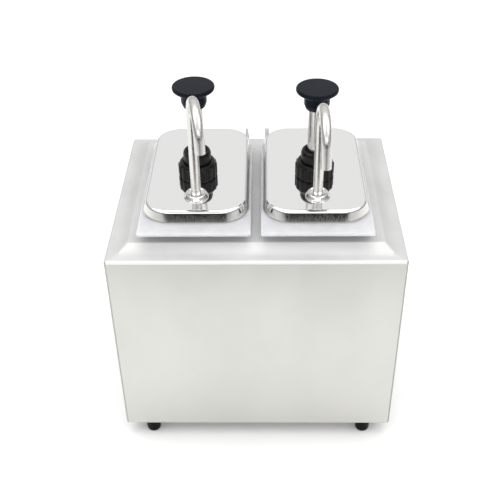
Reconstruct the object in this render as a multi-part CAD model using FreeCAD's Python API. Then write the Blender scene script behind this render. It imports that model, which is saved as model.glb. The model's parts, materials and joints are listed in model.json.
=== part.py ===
"""Twin condiment pump dispenser: a folded steel housing with a raised deck, two lift-out buckets,
and on each bucket a pressed lid that carries a hand pump and a swivelling gooseneck spout.

Millimetres, +Z up. The origin is on the table, at the centre of the whole object's footprint.
-Y is the front, where the spouts hang over. Each piece is written to parts/NODE.step.
"""
import FreeCAD, Part
import math
import os

Vector = FreeCAD.Vector
UP = Vector(0, 0, 1)
ACROSS = Vector(1, 0, 0)

# ---------------------------------------------------------------- driving dimensions
SHEET = 1.0                # steel sheet of the housing, deck and lids
HOUSING_WIDTH = 255.0
HOUSING_DEPTH = 208.0
HOUSING_HEIGHT = 199.0     # from the underside of the base to the deck's outer ledge
FOOT_HEIGHT = 15.0
FOOT_RADIUS = 6.75
FOOT_SPREAD = (102.8, 95.0)
TOP_RETURN = 16.0          # the wrap's folded-in edge under the deck
BOTTOM_RETURN = 34.0       # its folded-in edge over the feet
BACK_RETURN = 9.0          # side panels' edges folded round to the back
CORNER_BEND = 2.5
EDGE_BEND = 1.4
RIVET_HEAD = 1.4

LEDGE_WIDTH = 9.5          # deck: flat ledge round the outside
SLOPE_WIDTH = 9.0
DECK_RISE = 6.5            # the middle of the deck stands this much above the ledge
DECK_LIP = 3.0             # the deck's turned-down edge, over a joggle in the wrap
DECK_BEND = 2.4
SEAM_EDGE = 0.1            # the wrap's eased edge under the deck's lip

WELL_X = 52.0              # each bucket, lid and pump is centred this far from the middle
BUCKET_BODY = (87.0, 147.0)
BUCKET_CORNER = 22.0
BUCKET_WALL = 1.6
BUCKET_FLOOR = 2.4
BUCKET_TAPER = 1.4         # per side, from the mouth to the floor
FLANGE_SIZE = (95.5, 163.0)
FLANGE_LIP = 9.8           # the flange reaches this much further at the front, for the fingers
FLANGE_CORNER = 2.5        # its front corners; those at the back follow the lid's
FLANGE_BACK_CORNER = 26.0
FLANGE_HEIGHT = 2.6
FLANGE_EDGE = 1.0
RIM_FOOT_HEIGHT = 9.8      # step under the flange that stands on the deck
RIM_FOOT_SIZE = (93.0, 152.0)
COAMING_HEIGHT = 6.0       # upstand round the mouth, inside the lid's skirt

LID_SIZE = (92.5, 151.0)
LID_CORNER = 25.0
LID_HEIGHT = 9.5
LID_EDGE = 5.0             # rolled edge between the lid's top and its skirt

PUMP_Y = -13.0             # pump axis from the lid's centre
SPOUT_Y = -65.5            # spout axis from the lid's centre
RISER_Y = -55.0            # lower run of the riser, clear of the bucket's wall

TUBE_RADIUS = 4.1          # risers and goosenecks
TUBE_BORE = 3.2
SPOUT_BEND = 24.0
SPOUT_BEND_ANGLE = 165.0
# The pumps are put together by hand, so the two differ: how far the riser stands aside of the pump's axis,
# the gooseneck's shoulder height over the lid, its last straight and its turn from dead ahead, and how far
# the knob is screwed up its rod.
PUMPS = {
    "left": {"aside": 2.2, "shoulder": 84.0, "drop": 10.3, "turn": 11.2, "knob": 1.3},
    "right": {"aside": 0.0, "shoulder": 77.6, "drop": 16.3, "turn": 1.9, "knob": -1.3},
}
SIDES = {"left": -1, "right": 1}

RUN_GAP = 0.3              # clearance between pieces that lift apart

# ---------------------------------------------------------------- derived heights and places
BASE_Z = FOOT_HEIGHT
LEDGE_Z = BASE_Z + HOUSING_HEIGHT
PLATEAU_Z = LEDGE_Z + DECK_RISE
RIM_FOOT_Z = PLATEAU_Z + RUN_GAP
FLANGE_Z = RIM_FOOT_Z + RIM_FOOT_HEIGHT
RIM_Z = FLANGE_Z + FLANGE_HEIGHT
LID_Z = RIM_Z + RUN_GAP + LID_HEIGHT          # top face of the lids
BUCKET_FLOOR_Z = BASE_Z + 3.0

SPOUT_LEAN = math.radians(SPOUT_BEND_ANGLE)


def spout_reach(side):
    """How far in front of its own axis a spout's end reaches, measured along -Y."""
    along = SPOUT_BEND * (1 - math.cos(SPOUT_LEAN)) + PUMPS[side]["drop"] * math.sin(SPOUT_LEAN)
    turn = math.radians(PUMPS[side]["turn"])
    tilt = math.sin(SPOUT_LEAN) * math.cos(turn)
    return along * math.cos(turn) + TUBE_RADIUS * math.sqrt(1 - tilt * tilt)


FRONT_OVERHANG = max(spout_reach(side) for side in SIDES) - SPOUT_Y - HOUSING_DEPTH / 2
HOUSING_Y = (FRONT_OVERHANG - RIVET_HEAD) / 2  # puts the origin in the middle of the footprint


# ---------------------------------------------------------------- shape helpers
def rounded_outline(width, depth, radius, x, y, z):
    """Closed wire of a rectangle with round corners, centred on x, y at height z."""
    edges = []
    half_w = width / 2 - radius
    half_d = depth / 2 - radius
    corners = [(half_w, half_d), (-half_w, half_d), (-half_w, -half_d), (half_w, -half_d)]
    for index, (cx, cy) in enumerate(corners):
        centre = Vector(x + cx, y + cy, z)
        start = 90.0 * index
        edges.append(Part.makeCircle(radius, centre, UP, start, start + 90.0))
        turn = math.radians(start + 90.0)
        nx, ny = corners[(index + 1) % 4]
        offset = Vector(math.cos(turn), math.sin(turn), 0) * radius
        edges.append(Part.makeLine(centre + offset, Vector(x + nx, y + ny, z) + offset))
    return Part.Wire(edges)


def prism(size, radius, z_low, z_high, x=0.0, y=0.0):
    """Upright block with round vertical corners."""
    face = Part.Face(rounded_outline(size[0], size[1], radius, x, y, z_low))
    return face.extrude(Vector(0, 0, z_high - z_low))


def tapered(low_size, high_size, low_radius, high_radius, z_low, z_high, x=0.0, y=0.0):
    """Block whose round-cornered outline changes evenly from bottom to top."""
    low = rounded_outline(low_size[0], low_size[1], low_radius, x, y, z_low)
    high = rounded_outline(high_size[0], high_size[1], high_radius, x, y, z_high)
    return Part.makeLoft([low, high], True, True)


def inset(size, amount):
    return (size[0] - 2 * amount, size[1] - 2 * amount)


def turned(profile):
    """Solid of revolution about Z from (radius, z) points."""
    points = [Vector(r, 0, z) for r, z in profile]
    face = Part.Face(Part.makePolygon(points + [points[0]]))
    return face.revolve(Vector(0, 0, 0), UP, 360)


def cylinder(radius, z_low, z_high, x=0.0, y=0.0):
    return Part.makeCylinder(radius, z_high - z_low, Vector(x, y, z_low), UP)


def ring(outer, inner, z_low, z_high, x=0.0, y=0.0):
    return cylinder(outer, z_low, z_high, x, y).cut(cylinder(inner, z_low, z_high, x, y))


def hexagon(across_flats, z_low, z_high, hole):
    radius = across_flats / math.sqrt(3)
    points = [
        Vector(radius * math.cos(math.radians(60 * k)), radius * math.sin(math.radians(60 * k)), z_low)
        for k in range(7)
    ]
    body = Part.Face(Part.makePolygon(points)).extrude(Vector(0, 0, z_high - z_low))
    return body.cut(cylinder(hole, z_low, z_high))


def bent_rod(radius, start, heading, steps):
    """Round bar in the Y-Z plane. A step is a straight's length, or (bend radius, angle about +X)."""
    position = Vector(start)
    heading = Vector(heading)
    pieces = []
    for step in steps:
        if isinstance(step, tuple):
            bend, angle = step
            side = ACROSS.cross(heading) * (1 if angle > 0 else -1)
            centre = position + side * bend
            disc = Part.Face(Part.Wire(Part.makeCircle(radius, position, heading)))
            pieces.append(disc.revolve(centre, ACROSS, angle))
            turn = FreeCAD.Rotation(ACROSS, angle)
            position = centre + turn.multVec(position - centre)
            heading = turn.multVec(heading)
        else:
            pieces.append(Part.makeCylinder(radius, step, position, heading))
            position = position + heading * step
    return pieces[0].fuse(pieces[1:]).removeSplitter()


def bent_tube(outer, inner, start, heading, steps):
    return bent_rod(outer, start, heading, steps).cut(bent_rod(inner, start, heading, steps))


def edges_at(shape, z):
    """Edges that lie wholly at one height."""
    return [e for e in shape.Edges if max(abs(e.BoundBox.ZMin - z), abs(e.BoundBox.ZMax - z)) < 0.01]


def moved(shape, x, y, z=0.0):
    result = shape.copy()
    result.translate(Vector(x, y, z))
    return result


# ---------------------------------------------------------------- housing
HOUSING_SIZE = (HOUSING_WIDTH, HOUSING_DEPTH)
SEAM_Z = LEDGE_Z - DECK_LIP
WRAP_TOP = LEDGE_Z - SHEET
JOGGLE = SHEET + 0.1       # the wrap's top edge steps in this far behind the deck's lip
FOOT_PLACES = [(sx * FOOT_SPREAD[0], HOUSING_Y + sy * FOOT_SPREAD[1]) for sx in (-1, 1) for sy in (-1, 1)]
SCREW_HOLE = 2.2


def open_at_back(margin, z_low, z_high):
    """Block that leaves a margin at the front and the sides of the housing and runs out at its back."""
    return Part.makeBox(
        HOUSING_WIDTH - 2 * margin, HOUSING_DEPTH, z_high - z_low,
        Vector(margin - HOUSING_WIDTH / 2, HOUSING_Y - HOUSING_DEPTH / 2 + margin, z_low))


RIVET = 1.6
RIVET_X = HOUSING_WIDTH / 2 - BACK_RETURN / 2 - 0.5
RIVET_PLACES = [(sx * RIVET_X, BASE_Z + 20.0 + step * 52.0) for sx in (-1, 1) for step in range(4)]


def rivet_holes():
    start = HOUSING_Y + HOUSING_DEPTH / 2 + 0.5
    inward = Vector(0, -1, 0)
    return [Part.makeCylinder(RIVET + 0.05, 3.0, Vector(x, start, z), inward) for x, z in RIVET_PLACES]


def housing_wrap():
    """Front and both sides in one folded sheet, with its edges turned in at top, bottom and back."""
    outer = prism(HOUSING_SIZE, CORNER_BEND, BASE_Z, SEAM_Z, 0, HOUSING_Y)
    outer = outer.makeFillet(EDGE_BEND, edges_at(outer, BASE_Z))
    outer = outer.makeFillet(SEAM_EDGE, edges_at(outer, SEAM_Z))
    top_edge = prism(inset(HOUSING_SIZE, JOGGLE), CORNER_BEND - JOGGLE, SEAM_Z, WRAP_TOP, 0, HOUSING_Y)
    outer = outer.fuse(top_edge.makeFillet(1.35, edges_at(top_edge, WRAP_TOP)))
    wall_size = inset(HOUSING_SIZE, SHEET)
    neck_size = inset(HOUSING_SIZE, SHEET + JOGGLE)
    walls = prism(wall_size, CORNER_BEND - SHEET, BASE_Z + SHEET, SEAM_Z - SHEET, 0, HOUSING_Y)
    neck = prism(neck_size, 0.4, SEAM_Z - 2 * SHEET, WRAP_TOP - SHEET, 0, HOUSING_Y)
    back_y = HOUSING_Y + HOUSING_DEPTH / 2
    shell = outer.cut([
        walls,
        neck,
        open_at_back(BOTTOM_RETURN, BASE_Z - 1, BASE_Z + SHEET),
        open_at_back(TOP_RETURN, SEAM_Z, WRAP_TOP + 1),
        Part.makeBox(
            HOUSING_WIDTH - 2 * BACK_RETURN, 4 * SHEET, HOUSING_HEIGHT,
            Vector(BACK_RETURN - HOUSING_WIDTH / 2, back_y - 3 * SHEET, BASE_Z + SHEET)),
    ])
    screw_holes = [cylinder(SCREW_HOLE, BASE_Z - 1, BASE_Z + 2, x, y) for x, y in FOOT_PLACES]
    return shell.cut(screw_holes + rivet_holes())


BACK_PANEL_Y = HOUSING_Y + HOUSING_DEPTH / 2 - 2 * SHEET - 0.1


def back_panel():
    """Flat sheet with stiffening hems, riveted inside the side panels' back returns."""
    width = HOUSING_WIDTH - 2 * SHEET - 4.0
    z_low = BASE_Z + SHEET + 0.2
    z_high = SEAM_Z - SHEET - 0.2
    sheet = Part.makeBox(width, SHEET, z_high - z_low, Vector(-width / 2, BACK_PANEL_Y, z_low))
    hem_start = Vector(-width / 2 + 12.0, BACK_PANEL_Y - 8.0, z_high - SHEET)
    hem = Part.makeBox(width - 24.0, 8.0, SHEET, hem_start)
    return sheet.fuse(hem).removeSplitter().cut(rivet_holes())


def back_rivets():
    """Blind rivets down both edges of the back panel: a domed head outside and a set end inside."""
    head = turned([(0, 0), (3.4, 0), (3.0, 0.8), (1.6, RIVET_HEAD - 0.1), (0, RIVET_HEAD)])
    shank = cylinder(RIVET, -2.4, 0)
    tail = cylinder(2.2, -3.6, -2.2)
    rivet = head.fuse([shank, tail]).removeSplitter()
    rivet.rotate(Vector(0, 0, 0), ACROSS, -90)
    return [moved(rivet, x, HOUSING_Y + HOUSING_DEPTH / 2, z) for x, z in RIVET_PLACES]


def base_plate():
    """Tray that closes the bottom and lies on the wrap's turned-in edges."""
    gap = SHEET + 0.2
    depth = HOUSING_DEPTH - gap - 2 * SHEET - 0.4
    y = HOUSING_Y - HOUSING_DEPTH / 2 + gap + depth / 2
    size = (HOUSING_WIDTH - 2 * gap, depth)
    z_low = BASE_Z + SHEET
    tray = prism(size, 1.6, z_low, z_low + 14.0, 0, y)
    tray = tray.cut(prism(inset(size, SHEET), 0.8, z_low + SHEET, z_low + 15.0, 0, y))
    return tray.cut([cylinder(SCREW_HOLE, z_low - 1, z_low + 2, x, fy) for x, fy in FOOT_PLACES])


def deck_body(offset):
    """The deck's outside form, or with an offset the form of the space under it."""
    size = inset(HOUSING_SIZE, offset)
    slope_foot = inset(HOUSING_SIZE, LEDGE_WIDTH + offset)
    slope_top = inset(slope_foot, SLOPE_WIDTH)
    ledge = prism(size, CORNER_BEND - offset, SEAM_Z - offset, LEDGE_Z - offset, 0, HOUSING_Y)
    rise = tapered(slope_foot, slope_top, 3.0, 3.0, LEDGE_Z - offset, PLATEAU_Z - offset, 0, HOUSING_Y)
    form = ledge.fuse(rise).removeSplitter()
    limit = size[0] / 2 - CORNER_BEND - 1
    ledge_edges = edges_at(form, LEDGE_Z - offset)
    outer_edge = [e for e in ledge_edges if max(e.BoundBox.XMax, -e.BoundBox.XMin) > limit]
    form = form.makeFillet(DECK_BEND - offset, outer_edge)
    return form.makeFillet(DECK_BEND - offset, edges_at(form, PLATEAU_Z - offset))


WELL_MOUTH = (88.6, 148.6)
WELL_CORNER = 22.5
WELL_COLLAR = 10.0


def top_deck():
    """Pressed cover: ledge, slope and raised middle, with a collared mouth for each bucket."""
    deck = deck_body(0.0).cut(deck_body(SHEET))
    for direction in SIDES.values():
        x = direction * WELL_X
        low = PLATEAU_Z - WELL_COLLAR
        collar_size = inset(WELL_MOUTH, -SHEET)
        deck = deck.fuse(prism(collar_size, WELL_CORNER + SHEET, low, PLATEAU_Z - SHEET, x, HOUSING_Y))
        deck = deck.cut(prism(WELL_MOUTH, WELL_CORNER, low - 1, PLATEAU_Z + 1, x, HOUSING_Y))
    return deck.removeSplitter()


TAB_HEIGHT = 15.5
TAB_WIDTHS = {-1: (5.6, 1.8), 1: (4.6, 3.8)}   # at the foot and at the tip, left and right


def rear_tabs():
    """Two upright tabs on the deck, behind the gap between the buckets."""
    y = HOUSING_Y + FLANGE_SIZE[1] / 2 + 1.5
    tabs = []
    for direction, (foot, tip) in TAB_WIDTHS.items():
        half, end = foot / 2, tip / 2
        outline = [(-half, 0), (half, 0), (end, TAB_HEIGHT), (-end, TAB_HEIGHT), (-half, 0)]
        blade = Part.Face(Part.makePolygon([Vector(x, y, PLATEAU_Z + z) for x, z in outline]))
        tabs.append(moved(blade.extrude(Vector(0, SHEET, 0)), direction * 10.0, 0))
    return tabs


def feet():
    """Four rubber feet with a recess for the screw head."""
    foot = turned([
        (3.4, 0), (4.8, 0), (5.8, 0.5), (6.4, 1.6), (FOOT_RADIUS, 3.6), (FOOT_RADIUS, FOOT_HEIGHT),
        (1.9, FOOT_HEIGHT), (1.9, 5.0), (3.4, 5.0)])
    return [moved(foot, x, y) for x, y in FOOT_PLACES]


def foot_screws():
    tip = FOOT_HEIGHT + 6.0
    screw = turned([(0, 2.4), (2.6, 2.4), (3.2, 3.0), (3.2, 5.0), (1.75, 5.0), (1.75, tip), (0, tip)])
    slot = Part.makeBox(0.9, 7.0, 1.2, Vector(-0.45, -3.5, 2.0))
    return [moved(screw.cut(slot), x, y) for x, y in FOOT_PLACES]


def foot_nuts():
    z = BASE_Z + 2 * SHEET
    return [moved(hexagon(6.0, z, z + 2.8, 1.8), x, y) for x, y in FOOT_PLACES]


# ---------------------------------------------------------------- bucket and lid, about their own centre
def flange_block(size, lip, z_low, z_high):
    """Block with wide corners at the back and small ones at the front, where it is longer by lip."""
    depth = size[1] / 2 + lip
    whole = prism(size, FLANGE_BACK_CORNER, z_low, z_high)
    front = prism((size[0], depth), FLANGE_CORNER, z_low, z_high, y=-depth / 2)
    return whole.fuse(front).removeSplitter()


def bucket():
    """Moulded container: tapered body, flange with a lip on a step, and an upstand round the mouth."""
    floor_size = inset(BUCKET_BODY, BUCKET_TAPER)
    floor_corner = BUCKET_CORNER - BUCKET_TAPER
    mouth = inset(BUCKET_BODY, BUCKET_WALL)
    coaming_top = RIM_Z + COAMING_HEIGHT
    flange = flange_block(FLANGE_SIZE, FLANGE_LIP, FLANGE_Z, RIM_Z)
    flange = flange.makeFillet(FLANGE_EDGE, edges_at(flange, RIM_Z))
    body = tapered(floor_size, BUCKET_BODY, floor_corner, BUCKET_CORNER, BUCKET_FLOOR_Z, FLANGE_Z)
    body = body.fuse([
        flange,
        flange_block(RIM_FOOT_SIZE, 0.0, RIM_FOOT_Z, FLANGE_Z),
        prism(BUCKET_BODY, BUCKET_CORNER, RIM_Z, coaming_top),
    ])
    inside = BUCKET_FLOOR_Z + BUCKET_FLOOR
    inner_corner = BUCKET_CORNER - BUCKET_WALL
    cavity = tapered(
        inset(floor_size, BUCKET_WALL), mouth, floor_corner - BUCKET_WALL, inner_corner, inside, FLANGE_Z)
    cavity = cavity.makeFillet(5.0, edges_at(cavity, inside))
    neck = prism(mouth, inner_corner, FLANGE_Z, coaming_top + 1)
    return body.cut(cavity.fuse(neck)).removeSplitter()


PUMP_HOLE = 13.4


def lid(side):
    """Pressed steel cap with a rolled edge, a hole for the pump and one for the riser."""
    low = LID_Z - LID_HEIGHT
    outer = prism(LID_SIZE, LID_CORNER, low, LID_Z)
    outer = outer.makeFillet(LID_EDGE, edges_at(outer, LID_Z))
    inner = prism(inset(LID_SIZE, SHEET), LID_CORNER - SHEET, low - 1, LID_Z - SHEET)
    inner = inner.makeFillet(LID_EDGE - SHEET, edges_at(inner, LID_Z - SHEET))
    pressed = outer.cut(inner)
    pump_hole = cylinder(PUMP_HOLE, LID_Z - 3, LID_Z + 1, 0, PUMP_Y)
    riser_hole = cylinder(TUBE_RADIUS, LID_Z - 3, LID_Z + 1, PUMPS[side]["aside"], SPOUT_Y)
    return pressed.cut([pump_hole, riser_hole])


# ---------------------------------------------------------------- pump, about its own axis, up from the lid
HEAD_NECK = 13.0
BARREL_OUTER = 14.0
BARREL_INNER = 12.8
BARREL_TOP = -8.6
BARREL_FOOT = -98.0
PLUG_TOP = -88.0
COLLAR_TOP = 14.5
BUSH_TOP = 25.5
ROD = 6.9
ROD_BORE = 6.98
THREAD_END = 2.9
ROD_SHOULDER = 70.0
ROD_TIP = 79.0
HUB_FOOT = 66.9
HUB_BORE_TOP = 71.4
INSERT_RADIUS = 5.0
INSERT_TOP = 80.6
KNOB_TOP = 85.9
PISTON_TOP = BARREL_TOP - RUN_GAP
PISTON_LENGTH = 12.0
SHOULDER = PISTON_TOP - 3.0   # step on the rod that the piston is clamped against
NUT_FACE = PISTON_TOP - PISTON_LENGTH


def lid_gasket():
    return ring(18.0, PUMP_HOLE, -2.5, -SHEET)


def pump_head():
    """Threaded head: it passes up through the lid, and the pump tube is pressed into its skirt."""
    return turned([
        (10.4, 10.2), (HEAD_NECK, 10.2), (HEAD_NECK, -2.5), (18.0, -2.5), (18.0, -6.5), (16.5, -6.5),
        (16.5, -18.0), (BARREL_OUTER, -18.0), (BARREL_OUTER, BARREL_TOP), (10.4, BARREL_TOP)])


def collar_nut():
    """Ribbed nut that clamps the head to the lid and holds the guide bush down."""
    body = turned([
        (HEAD_NECK + 0.1, 0.1), (15.6, 0.1), (16.2, 0.8), (16.2, 12.6), (15.0, COLLAR_TOP),
        (12.6, COLLAR_TOP), (12.6, 12.2), (HEAD_NECK + 0.1, 12.2)])
    ribs = []
    for k in range(16):
        rib = Part.makeBox(2.4, 2.9, 11.6, Vector(14.8, -1.45, 0.6))
        rib = rib.makeChamfer(0.7, [e for e in edges_at(rib, 12.2) if e.BoundBox.XMin > 17.0])
        rib.rotate(Vector(0, 0, 0), UP, 360 / 16 * k)
        ribs.append(rib)
    return body.fuse(ribs).removeSplitter()


def guide_bush():
    """Guides the piston rod. Its flange is trapped under the collar nut, and its top is the pump's neck."""
    return turned([
        (ROD_BORE, -2.0), (10.2, -2.0), (10.2, 10.3), (13.0, 10.3), (13.0, 12.0), (12.3, 12.0),
        (12.3, 22.4), (11.6, 24.6), (10.6, BUSH_TOP), (9.6, BUSH_TOP), (8.7, 24.4), (7.8, 22.8),
        (ROD_BORE, 22.6), (ROD_BORE, 19.4), (9.5, 19.4), (9.5, 16.8), (ROD_BORE, 16.8)])


def rod_seal():
    return Part.makeTorus(ROD + 1.35, 1.15, Vector(0, 0, 18.1), UP)


def cylinder_tube():
    return ring(BARREL_OUTER, BARREL_INNER, BARREL_FOOT, BARREL_TOP)


def piston_rod():
    """Rod with a threaded end for the knob and a threaded end for the piston."""
    tip = NUT_FACE - 3.5
    return turned([
        (0, tip), (THREAD_END - 0.5, tip), (THREAD_END, tip + 0.5), (THREAD_END, SHOULDER),
        (ROD, SHOULDER), (ROD, ROD_SHOULDER), (THREAD_END, ROD_SHOULDER), (THREAD_END, ROD_TIP - 0.5),
        (THREAD_END - 0.5, ROD_TIP), (0, ROD_TIP)])


SEAL_GROOVE = 9.9


def piston():
    """Moulded piston with a groove for its seal and a boss that centres the spring."""
    body = turned([
        (THREAD_END + 0.05, -12.0), (9.0, -12.0), (9.0, -10.0), (12.5, -10.0), (12.5, -7.6),
        (SEAL_GROOVE, -7.6), (SEAL_GROOVE, -4.4), (12.5, -4.4), (12.5, -1.0), (11.6, 0),
        (ROD + 0.05, 0), (ROD + 0.05, -3.0), (THREAD_END + 0.05, -3.0)])
    return moved(body, 0, 0, PISTON_TOP)


def piston_seal():
    return Part.makeTorus(SEAL_GROOVE + 1.4, 1.35, Vector(0, 0, PISTON_TOP - 6.0), UP)


def piston_nut():
    return hexagon(9.0, NUT_FACE - 3.0, NUT_FACE, THREAD_END + 0.02)


def knob(side):
    """Palm button: flat-topped disc on a hub that the rod's end enters."""
    body = turned([
        (0, KNOB_TOP), (16.5, KNOB_TOP), (17.5, KNOB_TOP - 0.4), (18.1, KNOB_TOP - 1.4),
        (17.9, KNOB_TOP - 3.2), (13.6, KNOB_TOP - 6.6), (11.0, KNOB_TOP - 8.2), (11.0, HUB_FOOT + 4.0),
        (9.2, HUB_FOOT), (ROD + 0.15, HUB_FOOT), (ROD + 0.15, HUB_BORE_TOP),
        (INSERT_RADIUS, HUB_BORE_TOP), (INSERT_RADIUS, INSERT_TOP), (0, INSERT_TOP)])
    return moved(body, 0, 0, PUMPS[side]["knob"])


def knob_insert(side):
    """Brass insert moulded into the hub."""
    insert = ring(INSERT_RADIUS, THREAD_END + 0.02, HUB_BORE_TOP, INSERT_TOP)
    return moved(insert, 0, 0, PUMPS[side]["knob"])


SPRING_RADIUS = 10.4
SPRING_WIRE = 0.8
SPRING_TURNS = 8.0
SPRING_FOOT = PLUG_TOP + SPRING_WIRE
SPRING_TOP = PISTON_TOP - 10.0 - SPRING_WIRE


def return_spring():
    """Compression spring between the valve block and the piston."""
    height = SPRING_TOP - SPRING_FOOT
    steps = int(16 * SPRING_TURNS)
    points = []
    for k in range(steps + 1):
        turn = 2 * math.pi * SPRING_TURNS * k / steps
        z = SPRING_FOOT + height * k / steps
        points.append(Vector(SPRING_RADIUS * math.cos(turn), SPRING_RADIUS * math.sin(turn), z))
    path = Part.BSplineCurve()
    path.interpolate(points)
    pitch_angle = math.atan(height / SPRING_TURNS / (2 * math.pi * SPRING_RADIUS))
    heading = Vector(0, math.cos(pitch_angle), math.sin(pitch_angle))
    section = Part.Wire(Part.makeCircle(SPRING_WIRE, points[0], heading))
    return Part.Wire(path.toShape()).makePipeShell([section], True, True)


# The valve block: an inlet valve under the barrel, and an arm forward to the outlet valve and the riser.
ARM_LENGTH = PUMP_Y - RISER_Y
BLOCK_FOOT = -126.0
INLET_SEAT_Z = -118.0
CHAMBER_TOP = -106.0
PASSAGE_Z = -104.0
OUTLET_SEAT_Z = -99.0
BOSS_TOP = -82.0
INLET_BALL = 5.0
INLET_SEAT = 4.0
OUTLET_BALL = 3.7
PASSAGE = 2.8
RISER_FOOT = -86.0
SUCTION_OUTER = 7.0


def valve_block():
    body = cylinder(16.0, BLOCK_FOOT, BARREL_FOOT).fuse([
        cylinder(BARREL_INNER, BARREL_FOOT, PLUG_TOP),
        Part.makeBox(14.0, ARM_LENGTH, 12.0, Vector(-7.0, -ARM_LENGTH, BARREL_FOOT - 12.0)),
        cylinder(8.5, BARREL_FOOT - 12.0, BOSS_TOP, 0, -ARM_LENGTH),
    ])
    return body.cut([
        cylinder(INLET_SEAT, CHAMBER_TOP, PLUG_TOP),
        cylinder(INLET_BALL + 0.5, INLET_SEAT_Z, CHAMBER_TOP),
        cylinder(SUCTION_OUTER, BLOCK_FOOT, INLET_SEAT_Z),
        Part.makeCylinder(PASSAGE, ARM_LENGTH, Vector(0, -ARM_LENGTH, PASSAGE_Z), Vector(0, 1, 0)),
        cylinder(PASSAGE, PASSAGE_Z, OUTLET_SEAT_Z, 0, -ARM_LENGTH),
        cylinder(TUBE_RADIUS, OUTLET_SEAT_Z, BOSS_TOP, 0, -ARM_LENGTH),
    ]).removeSplitter()


def ball_on_seat(ball_radius, seat_radius, seat_z, y):
    height = math.sqrt(ball_radius ** 2 - seat_radius ** 2) + RUN_GAP
    return Part.makeSphere(ball_radius, Vector(0, y, seat_z + height))


def suction_tube():
    """Runs down to just above the bucket's floor, with a notched end."""
    foot = BUCKET_FLOOR_Z + 8.0 - LID_Z
    tube = ring(SUCTION_OUTER, INLET_SEAT, foot, INLET_SEAT_Z)
    notch = Part.makeBox(20.0, 5.0, 5.0, Vector(-10.0, -2.5, foot))
    return tube.cut(notch)


# The union on the riser's end: ferrule, washer, the spout's collar and the nut over them, from below up.
FERRULE_FOOT = 7.4
FERRULE_TOP = 9.8
UNION_BORE = 6.9
WASHER_TOP = 10.8
RING_FOOT = WASHER_TOP + 0.05
RING_TOP = RING_FOOT + 1.8
NUT_LEDGE = RING_TOP + 0.05
TUBE_CLEARANCE = 0.08


def riser_tube(side):
    """Stands up through the lid, steps over to the valve block's boss below it, and ends in that boss."""
    aside = PUMPS[side]["aside"]
    step = math.hypot(aside, RISER_Y - SPOUT_Y)
    bend = 14.0
    angle = math.degrees(math.acos(1 - step / (2 * bend)))
    first = FERRULE_TOP + 14.0
    last = FERRULE_TOP - first - 2 * bend * math.sin(math.radians(angle)) - RISER_FOOT
    steps = [first, (bend, angle), (bend, -angle), last]
    tube = bent_tube(TUBE_RADIUS, TUBE_BORE, Vector(0, 0, FERRULE_TOP), -UP, steps)
    tube.rotate(Vector(0, 0, 0), UP, math.degrees(math.atan2(aside, RISER_Y - SPOUT_Y)))
    return tube


def riser_ferrule():
    """Threaded ring brazed round the riser's upper end."""
    return ring(UNION_BORE, TUBE_RADIUS, FERRULE_FOOT, FERRULE_TOP)


def union_washer():
    return ring(UNION_BORE - 0.1, TUBE_BORE, FERRULE_TOP, WASHER_TOP)


def union_nut():
    """Polished nut with a broad flange and a dished mouth, screwed on the ferrule to hold the spout."""
    bore = TUBE_RADIUS + TUBE_CLEARANCE
    return turned([
        (UNION_BORE, 8.6), (8.6, 8.6), (10.0, 9.4), (10.5, 10.2), (10.5, 11.4), (10.0, 12.0), (8.7, 14.2),
        (8.2, 14.8), (7.4, 14.8), (6.9, 14.3), (5.4, 13.6), (bore, 13.5), (bore, NUT_LEDGE),
        (UNION_BORE, NUT_LEDGE)])


def spout_collar():
    """Ring brazed round the spout's lower end, which turns between the washer and the nut."""
    return ring(UNION_BORE - TUBE_CLEARANCE, TUBE_RADIUS, RING_FOOT, RING_TOP)


def spout(side):
    """Gooseneck: a straight leg, one long bend forward and a short straight to the outlet."""
    steps = [PUMPS[side]["shoulder"] - RING_FOOT, (SPOUT_BEND, SPOUT_BEND_ANGLE), PUMPS[side]["drop"]]
    tube = bent_tube(TUBE_RADIUS, TUBE_BORE, Vector(0, 0, RING_FOOT), UP, steps)
    tube.rotate(Vector(0, 0, 0), UP, PUMPS[side]["turn"])
    return tube


def side_pieces(side):
    """Every piece of one bucket, lid and pump, by node name, in place."""
    x = SIDES[side] * WELL_X
    on_centre = {"bucket": bucket(), "lid": lid(side)}
    on_pump = {
        "lid_gasket": lid_gasket(),
        "pump_head": pump_head(),
        "collar_nut": collar_nut(),
        "guide_bush": guide_bush(),
        "rod_seal": rod_seal(),
        "cylinder": cylinder_tube(),
        "return_spring": return_spring(),
        "piston_rod": piston_rod(),
        "piston": piston(),
        "piston_seal": piston_seal(),
        "piston_nut": piston_nut(),
        "knob": knob(side),
        "knob_insert": knob_insert(side),
        "valve_block": valve_block(),
        "inlet_ball": ball_on_seat(INLET_BALL, INLET_SEAT, INLET_SEAT_Z, 0),
        "outlet_ball": ball_on_seat(OUTLET_BALL, PASSAGE, OUTLET_SEAT_Z, -ARM_LENGTH),
        "suction_tube": suction_tube(),
    }
    on_riser = {
        "riser_tube": riser_tube(side),
        "riser_ferrule": riser_ferrule(),
        "union_washer": union_washer(),
        "union_nut": union_nut(),
        "spout_collar": spout_collar(),
        "spout": spout(side),
    }
    placed = {f"{side}_{name}": moved(shape, x, HOUSING_Y) for name, shape in on_centre.items()}
    for name, shape in on_pump.items():
        placed[f"{side}_{name}"] = moved(shape, x, HOUSING_Y + PUMP_Y, LID_Z)
    for name, shape in on_riser.items():
        placed[f"{side}_{name}"] = moved(shape, x + PUMPS[side]["aside"], HOUSING_Y + SPOUT_Y, LID_Z)
    return placed


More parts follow.
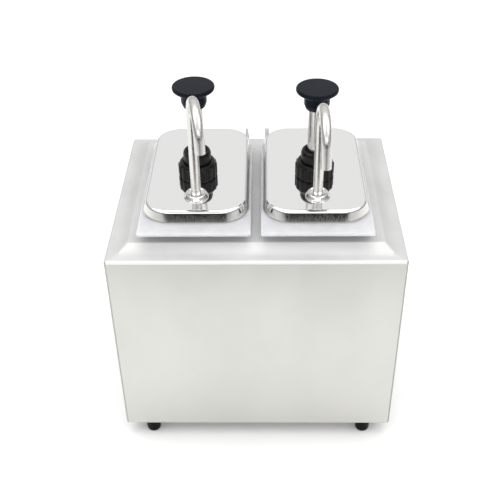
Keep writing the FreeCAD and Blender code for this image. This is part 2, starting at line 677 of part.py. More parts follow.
def main():
    os.makedirs("parts", exist_ok=True)
    pieces = {
        "housing_wrap": housing_wrap(),
        "back_panel": back_panel(),
        "back_rivets": back_rivets(),
        "base_plate": base_plate(),
        "top_deck": top_deck(),
        "rear_tabs": rear_tabs(),
        "feet": feet(),
        "foot_screws": foot_screws(),
        "foot_nuts": foot_nuts(),
    }
    for side in SIDES:
        pieces.update(side_pieces(side))
    for node, shape in pieces.items():
        solids = shape if isinstance(shape, list) else shape.Solids
        bad = [s for s in solids if not s.isValid() or s.Volume <= 0]
        whole = solids[0] if len(solids) == 1 else Part.makeCompound(solids)
        whole.exportStep(f"parts/{node}.step")
        volume = sum(s.Volume for s in solids)
        print(f"{node}: {len(solids)} solid(s), {volume:.0f} mm3" + (" BAD" if bad else ""))


main()
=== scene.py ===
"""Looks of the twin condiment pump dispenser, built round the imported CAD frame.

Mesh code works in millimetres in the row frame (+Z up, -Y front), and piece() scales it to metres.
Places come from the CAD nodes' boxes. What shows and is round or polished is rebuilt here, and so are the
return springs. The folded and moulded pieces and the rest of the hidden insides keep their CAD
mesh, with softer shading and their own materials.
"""
import json
import math

import bmesh
import bpy
from mathutils import Matrix, Quaternion, Vector
from mathutils.geometry import delaunay_2d_cdt

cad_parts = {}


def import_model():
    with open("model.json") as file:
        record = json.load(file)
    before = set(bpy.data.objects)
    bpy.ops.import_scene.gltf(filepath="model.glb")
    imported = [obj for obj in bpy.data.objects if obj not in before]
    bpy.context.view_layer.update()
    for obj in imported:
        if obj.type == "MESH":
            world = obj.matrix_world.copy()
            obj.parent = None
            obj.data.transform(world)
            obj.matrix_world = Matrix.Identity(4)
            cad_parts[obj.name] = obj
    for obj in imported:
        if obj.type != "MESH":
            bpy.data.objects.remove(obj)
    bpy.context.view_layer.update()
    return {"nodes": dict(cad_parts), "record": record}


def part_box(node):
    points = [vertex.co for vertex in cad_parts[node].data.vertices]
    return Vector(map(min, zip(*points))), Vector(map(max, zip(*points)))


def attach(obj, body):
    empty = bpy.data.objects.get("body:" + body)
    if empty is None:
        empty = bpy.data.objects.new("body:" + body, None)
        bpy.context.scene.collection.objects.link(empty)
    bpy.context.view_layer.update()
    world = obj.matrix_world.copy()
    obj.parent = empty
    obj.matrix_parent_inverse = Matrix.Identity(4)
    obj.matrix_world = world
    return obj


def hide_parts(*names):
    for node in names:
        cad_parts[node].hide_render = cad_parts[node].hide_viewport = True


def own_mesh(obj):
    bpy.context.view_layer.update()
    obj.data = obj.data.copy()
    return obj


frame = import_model()

MM = 0.001
UP = Vector((0, 0, 1))
SIDES = ("left", "right")

# ---------------------------------------------------------------- sizes that a node's box doesn't give
TUBE_OUTER = 4.1
TUBE_INNER = 3.2
SPOUT_BEND = 24.0
SPOUT_BEND_ANGLE = 165.0
SPOUTS = {"left": {"shoulder": 84.0, "drop": 10.3, "turn": 11.2},
          "right": {"shoulder": 77.6, "drop": 16.3, "turn": 1.9}}
LID_CORNER = 25.0
LID_SHEET = 1.0
LID_LEAN = 18.0            # degrees that the skirt leans in on its way up
LID_ROLL = 3.4
PUMP_HOLE = 13.4
ROD = 6.9
COLLAR_RIBS = 16
RIB_REACH = 17.2           # radius over the ribs
RIB_HALF_WIDTH = 1.75
RIB_FLANK = 0.6
SPRING_WIRE = 0.8
SPRING_TURNS = 8
FOOT_RADIUS = 6.75

# ---------------------------------------------------------------- how finely round things are divided
ROUND_SEGMENTS = 96
SMALL_ROUND_SEGMENTS = 64
TUBE_SEGMENTS = 48
BEND_STEPS = 64
WIRE_SEGMENTS = 12


def node_box(node):
    low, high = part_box(node)
    return low / MM, high / MM


def node_middle(node):
    low, high = node_box(node)
    return (low + high) / 2


# ---------------------------------------------------------------- mesh building
class Form:
    """Points and faces of one piece, gathered from lofts, turned shapes and flat plates."""

    def __init__(self):
        self.points = []
        self.faces = []

    def add_loop(self, points):
        first = len(self.points)
        self.points.extend(Vector(p) for p in points)
        return list(range(first, first + len(points)))

    def bridge(self, low, high):
        count = len(low)
        for k in range(count):
            n = (k + 1) % count
            self.faces.append((low[k], low[n], high[n], high[k]))

    def loft(self, loops, ring=False, caps=True):
        """Closed skin over a list of loops. A ring joins its last loop to its first and has no caps."""
        rows = [self.add_loop(points) for points in loops]
        for low, high in zip(rows, rows[1:]):
            self.bridge(low, high)
        if ring:
            self.bridge(rows[-1], rows[0])
        elif caps:
            self.faces.append(tuple(reversed(rows[0])))
            self.faces.append(tuple(rows[-1]))
        return rows

    def turned(self, profile, centre, segments=ROUND_SEGMENTS, ring=False, swell=None):
        """Turned shape from (radius, z) points. swell(angle, radius, z) may change the radius."""
        loops = []
        for radius, z in profile:
            loop = []
            for k in range(segments):
                angle = 2 * math.pi * k / segments
                reach = swell(angle, radius, z) if swell else radius
                loop.append(Vector((reach * math.cos(angle), reach * math.sin(angle), z)) + Vector(centre))
            loops.append(loop)
        return self.loft(loops, ring=ring)

    def turn_about(self, rotation, pivot):
        self.points = [rotation @ (point - pivot) + pivot for point in self.points]


def softened(profile, radius, steps=4, closed=False):
    """The same outline with its corners rounded; a corner's cut stays within its two sides."""
    result = []
    count = len(profile)
    for k, corner in enumerate(profile):
        here = Vector(corner)
        if not closed and k in (0, count - 1):
            result.append(here)
            continue
        before = Vector(profile[k - 1]) - here
        after = Vector(profile[(k + 1) % count]) - here
        turn = math.pi - before.angle(after)
        if turn < math.radians(8):
            result.append(here)
            continue
        cut = min(radius * math.tan(turn / 2), 0.45 * before.length, 0.45 * after.length)
        start = here + before.normalized() * cut
        end = here + after.normalized() * cut
        for s in range(steps + 1):
            t = s / steps
            result.append(start * (1 - t) ** 2 + here * 2 * t * (1 - t) + end * t ** 2)
    return [tuple(p) for p in result]


def outline(size, corner, centre, inset, z, steps=12):
    """Rectangle with round corners, inset evenly, at height z."""
    radius = max(corner - inset, 0.3)
    half_w = size[0] / 2 - inset - radius
    half_d = size[1] / 2 - inset - radius
    loop = []
    for index, (sx, sy) in enumerate([(1, 1), (-1, 1), (-1, -1), (1, -1)]):
        for s in range(steps + 1):
            angle = math.radians(90 * index + 90 * s / steps)
            loop.append((centre[0] + sx * half_w + radius * math.cos(angle),
                         centre[1] + sy * half_d + radius * math.sin(angle), z))
    return loop


def swept(path, headings, radii):
    """Loops of a round tube along a path in a plane that holds its headings."""
    loops = []
    across = headings[0].cross(headings[-1]).normalized()
    for point, heading, radius in zip(path, headings, radii):
        lift = across.cross(heading)
        loops.append([point + (across * math.cos(a) + lift * math.sin(a)) * radius
                      for a in (2 * math.pi * k / TUBE_SEGMENTS for k in range(TUBE_SEGMENTS))])
    return loops


def piece(name, form, material, body, replaced=(), crease=35.0):
    """The form as an object: smooth shading, sharp only over edges steeper than crease degrees."""
    mesh = bpy.data.meshes.new(name)
    mesh.from_pydata([tuple(p * MM) for p in form.points], [], form.faces)
    shell = bmesh.new()
    shell.from_mesh(mesh)
    bmesh.ops.remove_doubles(shell, verts=shell.verts, dist=1e-7)
    bmesh.ops.recalc_face_normals(shell, faces=shell.faces)
    shell.to_mesh(mesh)
    shell.free()
    mesh.shade_smooth()
    mesh.set_sharp_from_angle(angle=math.radians(crease))
    mesh.materials.append(material)
    made = bpy.data.objects.new(name, mesh)
    bpy.context.scene.collection.objects.link(made)
    even = made.modifiers.new("even_normals", "WEIGHTED_NORMAL")
    even.keep_sharp = True
    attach(made, body)
    if replaced:
        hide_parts(*replaced)
    return made


def soft_shading_group():
    """Node group for CAD meshes: welds the facets, then shades smooth over all but the sharp edges."""
    group = bpy.data.node_groups.new("soft_shading", "GeometryNodeTree")
    group.interface.new_socket("Geometry", in_out="INPUT", socket_type="NodeSocketGeometry")
    group.interface.new_socket("Geometry", in_out="OUTPUT", socket_type="NodeSocketGeometry")
    nodes, links = group.nodes, group.links
    entry = nodes.new("NodeGroupInput")
    weld = nodes.new("GeometryNodeMergeByDistance")
    weld.inputs["Distance"].default_value = 2e-6
    smooth = nodes.new("GeometryNodeSetShadeSmooth")
    smooth.domain = "FACE"
    angle = nodes.new("GeometryNodeInputMeshEdgeAngle")
    steep = nodes.new("FunctionNodeCompare")
    steep.operation = "GREATER_THAN"
    steep.inputs["B"].default_value = math.radians(32)
    sharp = nodes.new("GeometryNodeSetShadeSmooth")
    sharp.domain = "EDGE"
    sharp.inputs["Shade Smooth"].default_value = False
    leave = nodes.new("NodeGroupOutput")
    links.new(entry.outputs[0], weld.inputs["Geometry"])
    links.new(weld.outputs["Geometry"], smooth.inputs["Geometry"])
    links.new(smooth.outputs["Geometry"], sharp.inputs["Geometry"])
    links.new(angle.outputs["Unsigned Angle"], steep.inputs["A"])
    links.new(steep.outputs["Result"], sharp.inputs["Selection"])
    links.new(sharp.outputs["Geometry"], leave.inputs[0])
    return group


# ---------------------------------------------------------------- materials
class Finish:
    """A material: one Principled shader with uniform values on its own sockets, and patterns that feed it."""

    def __init__(self, name, color, roughness, metallic=0.0, uniform=None):
        self.material = bpy.data.materials.new(name)
        self.material.use_nodes = True
        self.material.diffuse_color = (*color, 1)
        self.tree = self.material.node_tree
        self.shader = self.tree.nodes["Principled BSDF"]
        self.set("Base Color", (*color, 1))
        self.set("Roughness", roughness)
        self.set("Metallic", metallic)
        for socket, value in (uniform or {}).items():
            self.set(socket, value)
        where = self.tree.nodes.new("ShaderNodeTexCoord").outputs
        self.place, self.facing = where["Object"], where["Normal"]

    def set(self, socket, value):
        self.shader.inputs[socket].default_value = value

    def noise(self, scale, stretch=(1, 1, 1), detail=2.0, rough=0.5):
        """Noise value; scale is in cells per metre, and stretch squeezes it along each axis."""
        mapping = self.tree.nodes.new("ShaderNodeMapping")
        mapping.inputs["Scale"].default_value = stretch
        self.tree.links.new(self.place, mapping.inputs["Vector"])
        noise = self.tree.nodes.new("ShaderNodeTexNoise")
        noise.inputs["Scale"].default_value = scale
        noise.inputs["Detail"].default_value = detail
        noise.inputs["Roughness"].default_value = rough
        self.tree.links.new(mapping.outputs["Vector"], noise.inputs["Vector"])
        return noise.outputs["Fac"]

    def spread(self, value, low, high, start=0.3, end=0.7):
        """Value from start..end mapped to low..high."""
        node = self.tree.nodes.new("ShaderNodeMapRange")
        for socket, number in (("From Min", start), ("From Max", end), ("To Min", low), ("To Max", high)):
            node.inputs[socket].default_value = number
        self.tree.links.new(value, node.inputs["Value"])
        return node.outputs["Result"]

    def normal_axes(self):
        """The surface's own normal, as its three parts."""
        split = self.tree.nodes.new("ShaderNodeSeparateXYZ")
        self.tree.links.new(self.facing, split.inputs[0])
        return split.outputs

    def added(self, a, b):
        node = self.tree.nodes.new("ShaderNodeMath")
        node.operation = "ADD"
        self.tree.links.new(a, node.inputs[0])
        self.tree.links.new(b, node.inputs[1])
        return node.outputs["Value"]

    def mixed(self, value, low, high):
        """Colour from low to high along a 0..1 value; low may be a colour or another node's output."""
        mix = self.tree.nodes.new("ShaderNodeMix")
        mix.data_type = "RGBA"
        if isinstance(low, tuple):
            mix.inputs["A"].default_value = (*low, 1)
        else:
            self.tree.links.new(low, mix.inputs["A"])
        mix.inputs["B"].default_value = (*high, 1)
        self.tree.links.new(value, mix.inputs["Factor"])
        return mix.outputs["Result"]

    def tint(self, value, low, high):
        self.tree.links.new(self.mixed(value, low, high), self.shader.inputs["Base Color"])
        return self

    def bent(self):
        """1 in an upright bend between two sides, 0 on their flats; the mask for the painted shade in folds.
        """
        across, along, _ = self.normal_axes()
        product = self.tree.nodes.new("ShaderNodeMath")
        product.operation = "MULTIPLY"
        self.tree.links.new(across, product.inputs[0])
        self.tree.links.new(along, product.inputs[1])
        size = self.tree.nodes.new("ShaderNodeMath")
        size.operation = "ABSOLUTE"
        self.tree.links.new(product.outputs["Value"], size.inputs[0])
        return self.spread(size.outputs["Value"], 0, 1, 0.12, 0.40)

    def roughen(self, value):
        self.tree.links.new(value, self.shader.inputs["Roughness"])
        return self

    def bump(self, value, depth):
        """depth is the relief in metres that the full range of value stands for."""
        node = self.tree.nodes.new("ShaderNodeBump")
        node.inputs["Distance"].default_value = depth
        self.tree.links.new(value, node.inputs["Height"])
        self.tree.links.new(node.outputs["Normal"], self.shader.inputs["Normal"])
        return self


BEND_PAINTED_SHADE = 0.55           # painted shade: a fold gets a darker colour in place of the dark reflection it catches


def brushed_steel(name, color, dark, grain, roughness, metallic=1.0, front=None):
    """Satin sheet: fine grain along one axis and soft smears, with painted shade in upright folds. The last
    argument is painted light: a lighter colour for forward-facing slopes.
    """
    finish = Finish(name, color, roughness, metallic=metallic)
    fine = finish.noise(5200, grain, 2.0, 0.6)
    smear = finish.noise(16, (1, 1, 0.6), 3.0, 0.6)
    sheet = finish.mixed(finish.spread(smear, 0, 1, 0.35, 0.68), dark, color)
    # Painted light: slopes that face forward get a lighter colour.
    if front:
        sheet = finish.mixed(finish.spread(finish.normal_axes()["Y"], 1, 0, -0.9, -0.2), sheet, front)
    # Painted shade: upright folds are darkened in colour.
    finish.tint(finish.bent(), sheet, tuple(c * BEND_PAINTED_SHADE for c in color))
    finish.roughen(finish.added(
        finish.spread(fine, -0.05, 0.05), finish.spread(smear, roughness + 0.03, roughness - 0.03)))
    return finish.bump(fine, 0.000012).material


def polished_steel(name, color, roughness, waves):
    """Buffed steel: slow waves from pressing or bending, and hairline buffing marks."""
    finish = Finish(name, color, roughness, metallic=1.0)
    slow = finish.noise(waves, (1, 1, 1), 1.0, 0.4)
    marks = finish.noise(2600, (1, 0.06, 0.4), 2.0, 0.5)
    finish.roughen(finish.spread(marks, roughness * 0.85, roughness * 1.3, 0.45, 0.8))
    return finish.bump(slow, 0.00006).material


def lid_steel(name, top, skirt, roughness):
    """Polished on top, and duller in gloss with upright drawing marks round the skirt; the skirt's darker,
    warmer colour is painted shade.
    """
    finish = Finish(name, top, roughness[0], metallic=1.0)
    slow = finish.noise(22, (1, 1, 1), 1.0, 0.4)
    marks = finish.noise(900, (1, 1, 0.08), 2.0, 0.6)
    upright = finish.spread(finish.normal_axes()["Z"], 1, 0, 0.25, 0.75)
    # Painted shade: the upright skirt gets a darker, warmer colour than the top.
    finish.tint(upright, top, skirt)
    finish.roughen(finish.added(
        finish.spread(upright, roughness[0], roughness[1], 0, 1), finish.spread(marks, -0.03, 0.04)))
    return finish.bump(slow, 0.00006).material


def plastic(name, color, roughness, speck, depth, uniform=None):
    """Moulded plastic: fine spark-eroded texture and a little variation in gloss."""
    finish = Finish(name, color, roughness, uniform=uniform)
    fine = finish.noise(speck, (1, 1, 1), 2.0, 0.6)
    slow = finish.noise(90, (1, 1, 1), 2.0, 0.5)
    lighter = tuple(min(c * 1.12 + 0.002, 1.0) for c in color)
    finish.tint(finish.spread(slow, 0, 1), color, lighter)
    finish.roughen(finish.spread(slow, roughness - 0.04, roughness + 0.06))
    return finish.bump(fine, depth).material


FINISHES = (
    (brushed_steel, "panel_steel", (0.62, 0.62, 0.595), (0.60, 0.60, 0.575), (0.02, 1, 1), 0.36),
    # The deck's last colour is painted light for its forward slopes.
    (brushed_steel, "deck_steel", (0.61, 0.61, 0.61), (0.55, 0.55, 0.55), (1, 0.02, 1), 0.66, 0.50,
     (0.93, 0.93, 0.925)),
    (polished_steel, "polished_steel", (0.72, 0.72, 0.71), 0.06, 22),
    (polished_steel, "steel_tube", (0.66, 0.65, 0.63), 0.26, 60),
    (lid_steel, "lid_steel", (0.83, 0.83, 0.835), (0.70, 0.69, 0.665), (0.045, 0.10)),
    (polished_steel, "spring_steel", (0.52, 0.53, 0.55), 0.22, 60),
    (polished_steel, "screw_steel", (0.60, 0.60, 0.60), 0.24, 60),
    (polished_steel, "rivet", (0.66, 0.67, 0.68), 0.30, 60),
    (plastic, "bucket_plastic", (0.525, 0.53, 0.56), 0.42, 1400, 0.00001,
     {"Subsurface Weight": 1.0, "Subsurface Radius": (1.0, 1.0, 1.0), "Subsurface Scale": 0.02}),
    (plastic, "white_plastic", (0.76, 0.76, 0.75), 0.45, 1400, 0.00001),
    (plastic, "black_plastic", (0.003, 0.003, 0.003), 0.28, 2200, 0.00003, {"Specular IOR Level": 0.22}),
    (plastic, "knob_plastic", (0.002, 0.004, 0.009), 0.36, 2600, 0.00003, {"Specular IOR Level": 0.10}),
    (plastic, "foot_rubber", (0.002, 0.002, 0.002), 0.34, 1600, 0.00003, {"Specular IOR Level": 0.10}),
    (plastic, "seal_rubber", (0.02, 0.02, 0.02), 0.6, 1600, 0.00002),
    (polished_steel, "brass", (0.78, 0.56, 0.26), 0.25, 60),
)
# By the record's slot; lid_steel is the polished slot on the lids.
MATERIALS = {slot: finish(slot, *values) for finish, slot, *values in FINISHES}


# ---------------------------------------------------------------- carried-over CAD nodes
def carry_over():
    """Every CAD node gets its slot's material and soft shading; the rebuilt ones are hidden later."""
    group = soft_shading_group()
    for part in frame["record"]["subparts"]:
        shown = frame["nodes"][part["node"]]
        shown.data.materials.clear()
        shown.data.materials.append(MATERIALS[part["material_slot"]])
        soft = shown.modifiers.new("soft_shading", "NODES")
        soft.node_group = group
        even = shown.modifiers.new("even_normals", "WEIGHTED_NORMAL")
        even.keep_sharp = True


# ---------------------------------------------------------------- rebuilt pieces
def lid_shell(side):
    """Pressed lid: flat top with a hole for pump and riser, rolled edge, drafted skirt with a hemmed foot."""
    low, high = node_box(f"{side}_lid")
    size = (high.x - low.x, high.y - low.y)
    centre = ((low.x + high.x) / 2, (low.y + high.y) / 2)
    foot, top = low.z, high.z
    lean = math.radians(LID_LEAN)
    bend_start = top - LID_ROLL * (1 - math.sin(lean))
    bend_middle = (bend_start - foot) * math.tan(lean) + LID_ROLL * math.cos(lean)

    def roll(radius, steps):
        angles = (lean + (math.pi / 2 - lean) * s / steps for s in range(steps + 1))
        return [(bend_middle - radius * math.cos(a), top - LID_ROLL + radius * math.sin(a)) for a in angles]

    outside_roll = roll(LID_ROLL, 16)
    outside = softened([(LID_SHEET, foot), (0.0, foot), outside_roll[0]], 0.35, 3)[:-1] + outside_roll
    inside = [(LID_SHEET + 0.05, foot + 0.05)] + roll(LID_ROLL - LID_SHEET, 10)
    form = Form()
    outer = form.loft([outline(size, LID_CORNER, centre, i, z) for i, z in outside], caps=False)
    inner = form.loft([outline(size, LID_CORNER, centre, i, z) for i, z in inside], caps=False)
    form.bridge(outer[0], inner[0])
    pump = node_middle(f"{side}_piston_rod")
    riser = node_middle(f"{side}_spout_collar")
    holes = [(pump, PUMP_HOLE), (riser, TUBE_OUTER + 0.1)]
    rims = {}
    for z, border in ((top, outer[-1]), (top - LID_SHEET, inner[-1])):
        rims[z] = []
        for middle, radius in holes:
            loop = [(middle.x + radius * math.cos(a), middle.y + radius * math.sin(a), z)
                    for a in (2 * math.pi * k / SMALL_ROUND_SEGMENTS for k in range(SMALL_ROUND_SEGMENTS))]
            rims[z].append(form.add_loop(loop))
        flat_sheet(form, border, rims[z])
    for upper, lower in zip(rims[top], rims[top - LID_SHEET]):
        form.bridge(upper, lower)
    piece(f"{side}_lid_shell", form, MATERIALS["lid_steel"], f"{side}_lid",
          [f"{side}_lid"], crease=50)


def flat_sheet(form, border, holes):
    """Triangles between a border and the holes inside it, all at one height."""
    index = list(border) + [k for hole in holes for k in hole]
    flat = [Vector((form.points[k].x, form.points[k].y)) for k in index]
    edges, first = [], 0
    for loop in [border, *holes]:
        count = len(loop)
        edges += [(first + k, first + (k + 1) % count) for k in range(count)]
        first += count
    made = delaunay_2d_cdt(flat, edges, [list(range(len(border)))], 1, 1e-6)
    spots = []
    for hole in holes:
        ring_points = [form.points[k].to_2d() for k in hole]
        middle = sum(ring_points, Vector((0, 0))) / len(ring_points)
        spots.append((middle, (ring_points[0] - middle).length))
    for triangle in made[2]:
        centre = sum((made[0][k] for k in triangle), Vector((0, 0))) / 3
        if all((centre - middle).length > radius for middle, radius in spots):
            form.faces.append(tuple(index[made[3][k][0]] for k in triangle))


def palm_button(side):
    """Knob: flat top with a soft rim, a deep undercut and a hub round the rod's end."""
    low, high = node_box(f"{side}_knob")
    middle = (low + high) / 2
    top = high.z
    profile = softened([
        (0.05, top), (16.6, top), (17.6, top - 0.4), (18.1, top - 1.5), (17.8, top - 3.3), (13.6, top - 6.6),
        (11.0, top - 8.3), (10.9, top - 15.0), (9.4, low.z), (7.1, low.z), (7.1, low.z + 4.4),
        (0.05, low.z + 4.4)], 0.45)
    form = Form()
    form.turned(profile, (middle.x, middle.y, 0))
    piece(f"{side}_palm_button", form, MATERIALS["knob_plastic"], f"{side}_plunger",
          [f"{side}_knob"])


def ribbed_collar(side):
    """Collar nut with round-edged ribs and a bevelled top."""
    low, high = node_box(f"{side}_collar_nut")
    middle = (low + high) / 2
    base = low.z
    top = high.z
    rib_top = base + 12.1

    def ribs(angle, radius, z):
        if radius < 15.7 or z > rib_top:
            return radius
        pitch = 2 * math.pi / COLLAR_RIBS
        aside = abs((angle + pitch / 2) % pitch - pitch / 2) * 16.5
        crest = min(max((RIB_HALF_WIDTH - aside) / RIB_FLANK, 0.0), 1.0)
        crest = crest * crest * (3 - 2 * crest)
        fade = min(max((z - base - 0.4) / 0.5, 0.0), 1.0) * min(max((rib_top - z) / 0.8, 0.0), 1.0)
        return radius + (RIB_REACH - radius) * crest * math.sqrt(fade)

    outside = [(15.7, base), (16.2, base + 0.7)]
    outside += [(16.2, base + 0.8 + 11.3 * k / 24) for k in range(1, 25)]
    outside += [(16.15, rib_top + 0.3), (15.1, top - 0.3), (14.7, top), (12.7, top)]
    inside = [(12.7, base + 12.1), (13.1, base + 12.0), (13.1, base)]
    form = Form()
    form.turned(outside + inside, (middle.x, middle.y, 0), COLLAR_RIBS * 14, ring=True, swell=ribs)
    piece(f"{side}_ribbed_collar", form, MATERIALS["black_plastic"], f"{side}_lid",
          [f"{side}_collar_nut"], crease=40)


def neck(side):
    """Guide bush: smooth neck with a dished mouth round the rod."""
    low, high = node_box(f"{side}_guide_bush")
    middle = (low + high) / 2
    base = low.z + 2.0
    bore = ROD + 0.08
    profile = softened([
        (bore, base - 2.0), (10.2, base - 2.0), (10.2, base + 10.3), (13.0, base + 10.3),
        (13.0, base + 12.0), (12.3, base + 12.0), (12.3, base + 22.4), (11.6, base + 24.6),
        (10.6, base + 25.5), (9.6, base + 25.5), (8.7, base + 24.4), (7.8, base + 22.8), (bore, base + 22.6),
        (bore, base + 19.4), (9.5, base + 19.4), (9.5, base + 16.8), (bore, base + 16.8)], 0.6, closed=True)
    form = Form()
    form.turned(profile, (middle.x, middle.y, 0), ring=True)
    piece(f"{side}_neck", form, MATERIALS["black_plastic"], f"{side}_lid",
          [f"{side}_guide_bush"])


def plunger_rod(side):
    low, high = node_box(f"{side}_piston_rod")
    middle = (low + high) / 2
    thread = 2.9
    profile = softened([
        (0.05, low.z), (thread, low.z), (thread, low.z + 18.5), (ROD, low.z + 18.5), (ROD, high.z - 9.0),
        (thread, high.z - 9.0), (thread, high.z), (0.05, high.z)], 0.4)
    form = Form()
    form.turned(profile, (middle.x, middle.y, 0))
    piece(f"{side}_plunger_rod", form, MATERIALS["steel_tube"], f"{side}_plunger",
          [f"{side}_piston_rod"])


def return_spring(side):
    """Coil between the valve block and the piston, built at one length; the real spring shortens as the
    plunger goes down.
    """
    low, high = node_box(f"{side}_return_spring")
    middle = (low + high) / 2
    reach = (high.x - low.x) / 2 - SPRING_WIRE
    rise = high.z - low.z - 2 * SPRING_WIRE
    steps = 24 * SPRING_TURNS
    loops = []
    for k in range(steps + 1):
        angle = 2 * math.pi * SPRING_TURNS * k / steps
        out = Vector((math.cos(angle), math.sin(angle), 0))
        heading = (UP.cross(out) * 2 * math.pi * reach * SPRING_TURNS + UP * rise).normalized()
        lift = heading.cross(out)
        centre = Vector((middle.x, middle.y, low.z + SPRING_WIRE + rise * k / steps)) + out * reach
        loops.append([centre + (out * math.cos(a) + lift * math.sin(a)) * SPRING_WIRE
                      for a in (2 * math.pi * j / WIRE_SEGMENTS for j in range(WIRE_SEGMENTS))])
    form = Form()
    form.loft(loops)
    coil = piece(f"{side}_spring_coil", form, MATERIALS["spring_steel"], f"{side}_lid",
                 [f"{side}_return_spring"], crease=60)
    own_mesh(coil)


def swivel_nut(side):
    """Union nut: broad flange with a bevelled edge, steep shoulder and a dished mouth with two steps."""
    low, high = node_box(f"{side}_union_nut")
    middle = (low + high) / 2
    z = low.z - 8.6
    profile = softened([
        (6.9, z + 8.6), (8.6, z + 8.6), (10.0, z + 9.4), (10.5, z + 10.2), (10.5, z + 11.4), (10.0, z + 12.0),
        (8.7, z + 14.2), (8.2, z + 14.8), (7.4, z + 14.8), (6.9, z + 14.3), (5.4, z + 13.6), (4.2, z + 13.5),
        (4.2, z + 12.7), (6.9, z + 12.7)], 0.35, 3, closed=True)
    form = Form()
    form.turned(profile, (middle.x, middle.y, 0), ring=True)
    piece(f"{side}_swivel_nut", form, MATERIALS["polished_steel"], f"{side}_lid",
          [f"{side}_union_nut"], crease=60)


def gooseneck(side):
    """Bent tube with a thin wall and a rounded lip at both ends."""
    shape = SPOUTS[side]
    collar_low, collar_high = node_box(f"{side}_spout_collar")
    axis = (collar_low + collar_high) / 2
    lid_top = node_box(f"{side}_lid")[1].z
    foot = Vector((axis.x, axis.y, collar_low.z))
    elbow = Vector((axis.x, axis.y, lid_top + shape["shoulder"]))
    forward = Vector((0, -1, 0))
    path, headings = [foot, foot + UP * 0.3], [UP.copy(), UP.copy()]
    for s in range(BEND_STEPS + 1):
        angle = math.radians(SPOUT_BEND_ANGLE * s / BEND_STEPS)
        path.append(elbow + forward * SPOUT_BEND * (1 - math.cos(angle)) + UP * SPOUT_BEND * math.sin(angle))
        headings.append(UP * math.cos(angle) + forward * math.sin(angle))
    tip = path[-1] + headings[-1] * shape["drop"]
    path += [tip - headings[-1] * 0.35, tip]
    headings += [headings[-1], headings[-1]]
    outer = [TUBE_OUTER - 0.25] + [TUBE_OUTER] * (len(path) - 2) + [TUBE_OUTER - 0.25]
    inner = [TUBE_INNER + 0.1] + [TUBE_INNER] * (len(path) - 2) + [TUBE_INNER + 0.1]
    form = Form()
    outside = form.loft(swept(path, headings, outer), caps=False)
    inside = form.loft(swept(path, headings, inner), caps=False)
    form.bridge(outside[0], inside[0])
    form.bridge(outside[-1], inside[-1])
    form.turn_about(Quaternion(UP, math.radians(shape["turn"])), Vector((axis.x, axis.y, 0)))
    piece(f"{side}_gooseneck", form, MATERIALS["steel_tube"], f"{side}_spout",
          [f"{side}_spout"], crease=60)


def rubber_feet():
    """Four feet with a ground lip, a slight waist and a moulded edge."""
    low, high = node_box("feet")
    form = Form()
    top = high.z
    profile = softened([
        (3.4, 0.0), (4.9, 0.0), (5.9, 0.5), (6.45, 1.6), (FOOT_RADIUS, 3.6), (FOOT_RADIUS, top - 1.6),
        (6.4, top - 1.2), (6.4, top), (1.9, top), (1.9, 5.0), (3.4, 5.0)], 0.5, 3, closed=True)
    for x in (low.x + FOOT_RADIUS, high.x - FOOT_RADIUS):
        for y in (low.y + FOOT_RADIUS, high.y - FOOT_RADIUS):
            form.turned(profile, (x, y, 0), SMALL_ROUND_SEGMENTS, ring=True)
    piece("rubber_feet", form, MATERIALS["foot_rubber"], "housing", ["feet"])


def rebuild():
    for side in SIDES:
        lid_shell(side)
        palm_button(side)
        ribbed_collar(side)
        neck(side)
        plunger_rod(side)
        return_spring(side)
        swivel_nut(side)
        gooseneck(side)
    rubber_feet()


# ---------------------------------------------------------------- stage, light and camera
def stage_material(name, color, glow):
    """Matt surface that also gives off some light of its own."""
    finish = Finish(name, color, 0.9)
    finish.set("Emission Color", (*color, 1))
    finish.set("Emission Strength", glow)
    finish.set("Specular IOR Level", 0.0)
    return finish.material


def flat_card(name, x, y, z, material):
    """Level stage card between two x and two y, in metres."""
    mesh = bpy.data.meshes.new(name)
    corners = [(x[0], y[0], z), (x[1], y[0], z), (x[1], y[1], z), (x[0], y[1], z)]
    mesh.from_pydata(corners, [], [(0, 1, 2, 3)])
    mesh.materials.append(material)
    made = bpy.data.objects.new(name, mesh)
    bpy.context.scene.collection.objects.link(made)
    return made


# Brightness of the light tent by direction: each row is start, end, value at start, value at end.
TENT = {
    "rise": (0.0, 0.75, 0.30, 0.96),        # with height
    "back": (0.40, 0.75, 0.0, 0.93),        # behind the object
    "back_foot": (0.0, 0.50, 0.55, 1.0),    # less low down there
    "gap_front": (-0.10, -0.25, 0.0, 1.0),  # the dark gap, on the camera's side only
    "gap_width": (0.40, 0.50, 1.0, 0.0),
    "gap_top": (0.42, 0.58, 0.97, 0.0),
    "gap_foot": (-0.02, 0.0, 0.0, 1.0),
}


LIGHTS = (                                  # name, place, target, width and height in metres, watts
    ("key", (-1.1, -0.4, 1.8), (0, 0, 0.15), 1.6, 1.2, 8.5),
    ("fill", (1.1, -0.4, 1.8), (0, 0, 0.15), 1.6, 1.2, 8),
    ("front", (0.0, -1.6, 1.1), (0, 0, 0.22), 1.8, 0.5, 5),
    ("top", (0.0, 0.2, 2.0), (0, 0, 0), 1.6, 0.8, 11),
)


def area_light(name, place, target, width, height, power):
    data = bpy.data.lights.new(name, "AREA")
    data.shape = "RECTANGLE"
    data.size, data.size_y, data.energy = width, height, power
    made = bpy.data.objects.new(name, data)
    made.location = place
    made.rotation_euler = (Vector(target) - Vector(place)).to_track_quat("-Z", "Y").to_euler()
    bpy.context.scene.collection.objects.link(made)


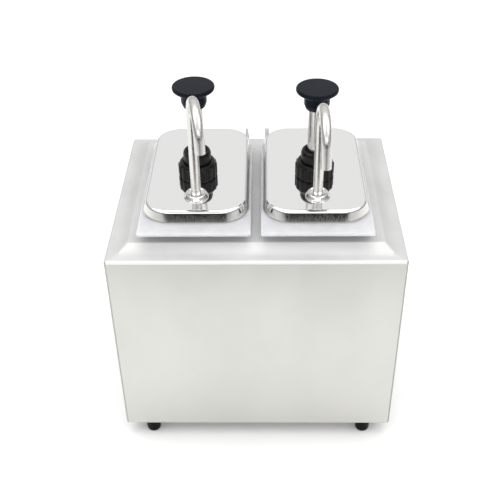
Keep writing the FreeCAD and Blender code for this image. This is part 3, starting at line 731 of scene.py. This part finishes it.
def world():
    """Light tent: bright above and behind, dimmer at the sides, with a dark gap in front for the room."""
    sky = bpy.data.worlds.new("studio")
    sky.use_nodes = True
    nodes, links = sky.node_tree.nodes, sky.node_tree.links
    split = nodes.new("ShaderNodeSeparateXYZ")
    links.new(nodes.new("ShaderNodeTexCoord").outputs["Generated"], split.inputs[0])

    def ramp(value, start, end, low, high):
        node = nodes.new("ShaderNodeMapRange")
        node.interpolation_type = "SMOOTHSTEP"
        for socket, number in (("From Min", start), ("From Max", end), ("To Min", low), ("To Max", high)):
            node.inputs[socket].default_value = number
        links.new(value, node.inputs["Value"])
        return node.outputs["Result"]

    def combine(operation, a, b):
        node = nodes.new("ShaderNodeMath")
        node.operation = operation
        for socket, value in zip(node.inputs, (a, b)):
            if isinstance(value, (int, float)):
                socket.default_value = value
            else:
                links.new(value, socket)
        return node.outputs["Value"]

    x, y, z = (split.outputs[axis] for axis in "XYZ")
    behind = combine("MULTIPLY", ramp(y, *TENT["back"]), ramp(z, *TENT["back_foot"]))
    tent = combine("MAXIMUM", ramp(z, *TENT["rise"]), behind)
    aside = ramp(combine("ABSOLUTE", x, 0), *TENT["gap_width"])
    gap = combine("MULTIPLY", ramp(y, *TENT["gap_front"]), aside)
    gap = combine("MULTIPLY", gap, ramp(z, *TENT["gap_top"]))
    gap = combine("MULTIPLY", gap, ramp(z, *TENT["gap_foot"]))
    level = combine("MULTIPLY", tent, combine("SUBTRACT", 1.0, gap))
    links.new(level, nodes["Background"].inputs["Strength"])
    nodes["Background"].inputs["Color"].default_value = (1.0, 0.995, 0.985, 1)
    bpy.context.scene.world = sky


CAMERA_PLACE = (8.329, -654.112, 640.655)   # from the middle of the top deck, on the floor, in millimetres
CAMERA_ANGLES = (1.34379, 36.99293, -0.96867)
CAMERA_LENS = 60.33


def camera():
    """The viewing angle: 37 degrees down on the front, almost square to it."""
    place = (Vector(CAMERA_PLACE) + Vector((0, node_middle("top_deck").y, 0))) * MM
    azimuth, elevation, roll = (math.radians(a) for a in CAMERA_ANGLES)
    ahead = Vector((-math.sin(azimuth) * math.cos(elevation), math.cos(azimuth) * math.cos(elevation),
                    -math.sin(elevation)))
    right = Vector((math.cos(azimuth), math.sin(azimuth), 0))
    above = right.cross(ahead)
    right, above = (right * math.cos(roll) + above * math.sin(roll),
                    above * math.cos(roll) - right * math.sin(roll))
    data = bpy.data.cameras.new("camera")
    data.sensor_width = 36.0
    data.lens = CAMERA_LENS
    data.clip_start = 0.01
    made = bpy.data.objects.new("camera", data)
    turn = Matrix((right, above, -ahead)).transposed().to_4x4()
    made.matrix_world = Matrix.Translation(place) @ turn
    bpy.context.scene.collection.objects.link(made)
    bpy.context.scene.camera = made


def floor_cards():
    """White floor, and a dark card on it in front that only reflections see."""
    flat_card("floor", (-30, 30), (-30, 30), 0, stage_material("floor_white", (0.96, 0.96, 0.96), 0.02))
    dark = flat_card("card_floor", (-0.30, 0.30), (-4.0, -0.45), 0.002,
                     stage_material("card_black", (0.02, 0.02, 0.02), 0.0))
    dark.visible_camera = dark.visible_diffuse = dark.visible_shadow = False


def set_stage():
    floor_cards()
    world()
    for light in LIGHTS:
        area_light(*light)
    bpy.context.scene.view_settings.view_transform = "Standard"


carry_over()
rebuild()
camera()
set_stage()
